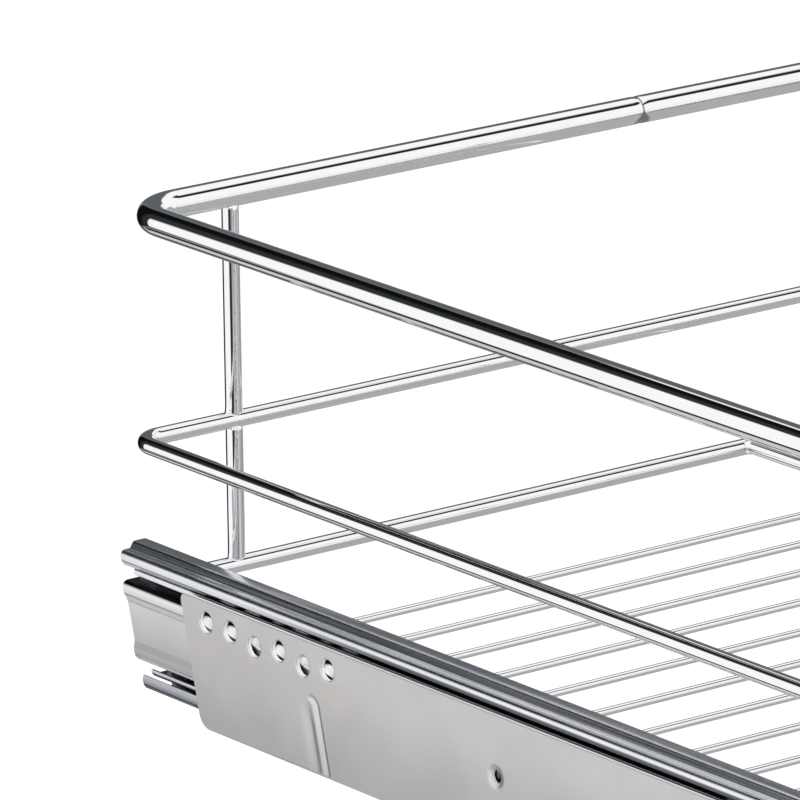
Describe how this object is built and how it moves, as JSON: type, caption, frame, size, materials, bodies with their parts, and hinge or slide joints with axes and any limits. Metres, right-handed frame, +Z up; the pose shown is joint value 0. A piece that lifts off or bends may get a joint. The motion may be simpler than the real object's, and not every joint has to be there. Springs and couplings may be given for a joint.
{
  "type": "pull-out dish rack",
  "caption": "Chromed wire dish basket hung between two full-extension ball slides whose flat plates screw to the inside of a cupboard; the basket rolls out towards the front.",
  "frame": {"origin": "midway between the two wall plates' outer faces and between the front and rear rims, level with the plates' lower edges", "axes": "+X to the right, the basket pulls out towards -Y, +Z up"},
  "size_m": [0.564, 0.48, 0.1721],
  "materials": {
    "chrome_rim": "bright chrome plate",
    "chrome_rod": "bright chrome plate",
    "chrome_wire": "bright chrome plate",
    "zinc_rail": "bright bluish zinc plate",
    "zinc_inner": "satin zinc plate",
    "satin_plate": "satin zinc plate with a soft cloudy sheen",
    "lug_steel": "bright chrome plate",
    "rivet_steel": "zinc plate",
    "cage_steel": "plain rolled strip",
    "ball_steel": "polished bearing steel",
    "buffer_rubber": "moulded black rubber"
  },
  "bodies": {
    "cabinet_side": {"left_wall_plate": "satin_plate", "right_wall_plate": "satin_plate", "left_wall_member": "zinc_inner", "right_wall_member": "zinc_inner", "left_buffer": "buffer_rubber", "right_buffer": "buffer_rubber"},
    "left_inner_carriage": {"left_inner_cage": "cage_steel", "left_inner_balls": "ball_steel"},
    "left_middle": {"left_middle_member": "zinc_rail"},
    "left_outer_carriage": {"left_outer_cage": "cage_steel", "left_outer_balls": "ball_steel"},
    "right_inner_carriage": {"right_inner_cage": "cage_steel", "right_inner_balls": "ball_steel"},
    "right_middle": {"right_middle_member": "zinc_rail"},
    "right_outer_carriage": {"right_outer_cage": "cage_steel", "right_outer_balls": "ball_steel"},
    "basket": {"top_rim": "chrome_rim", "mid_rail": "chrome_rod", "bottom_rail": "chrome_rod", "centre_support": "chrome_rod", "rear_left_upper_post": "chrome_rod", "rear_left_lower_post": "chrome_rod", "rear_right_upper_post": "chrome_rod", "rear_right_lower_post": "chrome_rod", "front_left_upper_post": "chrome_rod", "front_left_lower_post": "chrome_rod", "front_right_upper_post": "chrome_rod", "front_right_lower_post": "chrome_rod", "floor_wire_01": "chrome_wire", "floor_wire_02": "chrome_wire", "floor_wire_03": "chrome_wire", "floor_wire_04": "chrome_wire", "floor_wire_05": "chrome_wire", "floor_wire_06": "chrome_wire", "floor_wire_07": "chrome_wire", "floor_wire_08": "chrome_wire", "floor_wire_09": "chrome_wire", "floor_wire_10": "chrome_wire", "floor_wire_11": "chrome_wire", "floor_wire_12": "chrome_wire", "left_basket_member": "zinc_rail", "right_basket_member": "zinc_rail", "left_rear_lug": "lug_steel", "right_rear_lug": "lug_steel", "left_front_lug": "lug_steel", "right_front_lug": "lug_steel", "left_lug_rivets": "rivet_steel", "right_lug_rivets": "rivet_steel"}
  },
  "joints": [
    {"name": "pull_out", "type": "slide", "parent": "cabinet_side", "child": "basket", "axis": [0, -1, 0], "range_m": [0, 0.45]},
    {"name": "left_inner_carriage_run", "type": "slide", "parent": "cabinet_side", "child": "left_inner_carriage", "axis": [0, -1, 0], "range_m": [0, 0.1125]},
    {"name": "left_middle_run", "type": "slide", "parent": "cabinet_side", "child": "left_middle", "axis": [0, -1, 0], "range_m": [0, 0.225]},
    {"name": "left_outer_carriage_run", "type": "slide", "parent": "cabinet_side", "child": "left_outer_carriage", "axis": [0, -1, 0], "range_m": [0, 0.3375]},
    {"name": "right_inner_carriage_run", "type": "slide", "parent": "cabinet_side", "child": "right_inner_carriage", "axis": [0, -1, 0], "range_m": [0, 0.1125]},
    {"name": "right_middle_run", "type": "slide", "parent": "cabinet_side", "child": "right_middle", "axis": [0, -1, 0], "range_m": [0, 0.225]},
    {"name": "right_outer_carriage_run", "type": "slide", "parent": "cabinet_side", "child": "right_outer_carriage", "axis": [0, -1, 0], "range_m": [0, 0.3375]}
  ],
  "couplings": [
    {"joint": "left_inner_carriage_run", "follows": "pull_out", "ratio": 0.25},
    {"joint": "left_middle_run", "follows": "pull_out", "ratio": 0.5},
    {"joint": "left_outer_carriage_run", "follows": "pull_out", "ratio": 0.75},
    {"joint": "right_inner_carriage_run", "follows": "pull_out", "ratio": 0.25},
    {"joint": "right_middle_run", "follows": "pull_out", "ratio": 0.5},
    {"joint": "right_outer_carriage_run", "follows": "pull_out", "ratio": 0.75}
  ]
}
